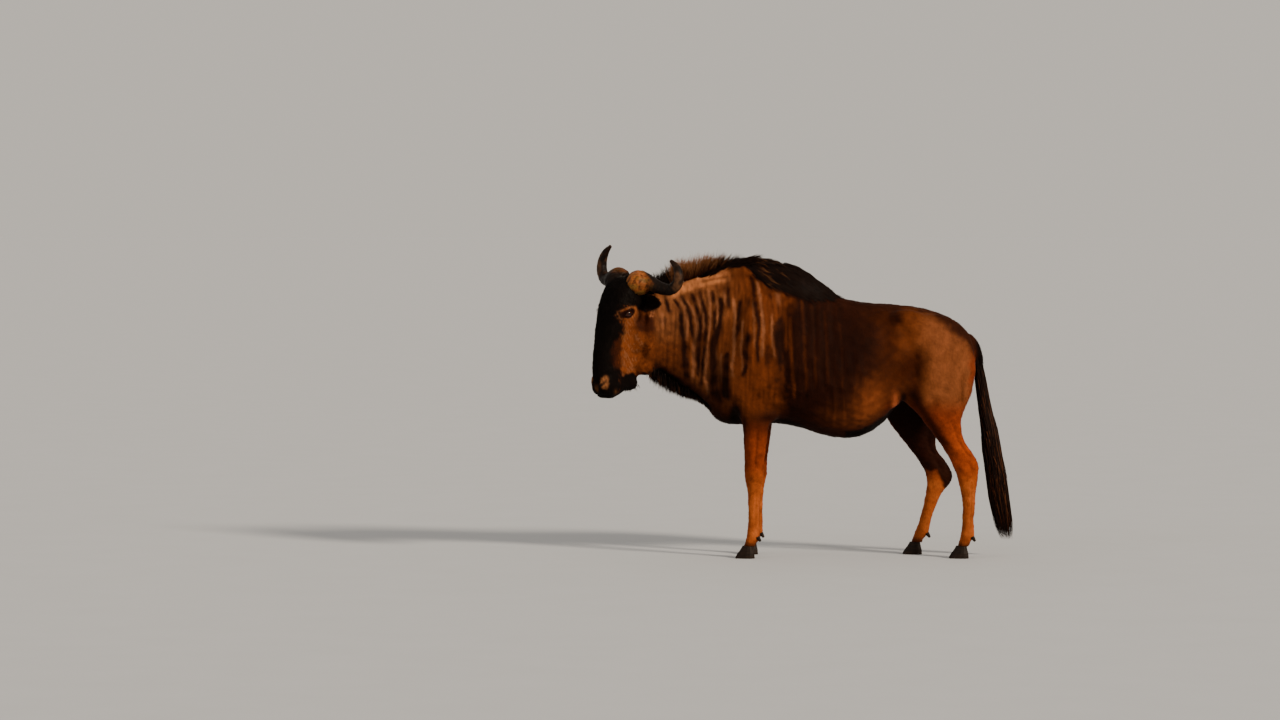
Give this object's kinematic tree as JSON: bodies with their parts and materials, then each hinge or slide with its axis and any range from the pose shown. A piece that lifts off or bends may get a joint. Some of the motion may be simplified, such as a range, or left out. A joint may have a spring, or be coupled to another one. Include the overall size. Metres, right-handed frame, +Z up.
{
  "type": "blue wildebeest, still life-size model",
  "caption": "Life-size blue wildebeest standing with its head turned to its left: striped brown coat, dark mane, beard and tail, upcurved horns.",
  "frame": {"origin": "middle of the bounding box on the ground under the hooves", "axes": "+X towards the tail, +Y towards the animal's right side, +Z up; the head end points to -X"},
  "size_m": [1.9484, 0.4768, 1.4354],
  "materials": {
    "coat": "short flat brown fur over hide, with dark upright stripes on neck and shoulder",
    "long_hair": "long coarse black-brown hair of mane, beard and tail",
    "horn": "ridged keratin, satin, darker towards the tips",
    "hoof": "dark keratin, satin, with growth rings",
    "eye": "dark brown, wet gloss"
  },
  "bodies": {
    "root": {"beard": "long_hair", "dew_claw_front_left_inner": "hoof", "dew_claw_front_left_outer": "hoof", "dew_claw_front_right_inner": "hoof", "dew_claw_front_right_outer": "hoof", "dew_claw_hind_left_inner": "hoof", "dew_claw_hind_left_outer": "hoof", "dew_claw_hind_right_inner": "hoof", "dew_claw_hind_right_outer": "hoof", "ear_left": "coat", "ear_right": "coat", "eye_left": "eye", "eye_right": "eye", "foreleg_left_lower": "coat", "foreleg_left_upper": "coat", "foreleg_right_lower": "coat", "foreleg_right_upper": "coat", "head": "coat", "hindleg_left_lower": "coat", "hindleg_left_upper": "coat", "hindleg_right_lower": "coat", "hindleg_right_upper": "coat", "hoof_front_left_inner": "hoof", "hoof_front_left_outer": "hoof", "hoof_front_right_inner": "hoof", "hoof_front_right_outer": "hoof", "hoof_hind_left_inner": "hoof", "hoof_hind_left_outer": "hoof", "hoof_hind_right_inner": "hoof", "hoof_hind_right_outer": "hoof", "horn_left": "horn", "horn_right": "horn", "mane": "long_hair", "neck": "coat", "tail_dock": "coat", "tail_tassel": "long_hair", "trunk": "coat"}
  },
  "joints": []
}
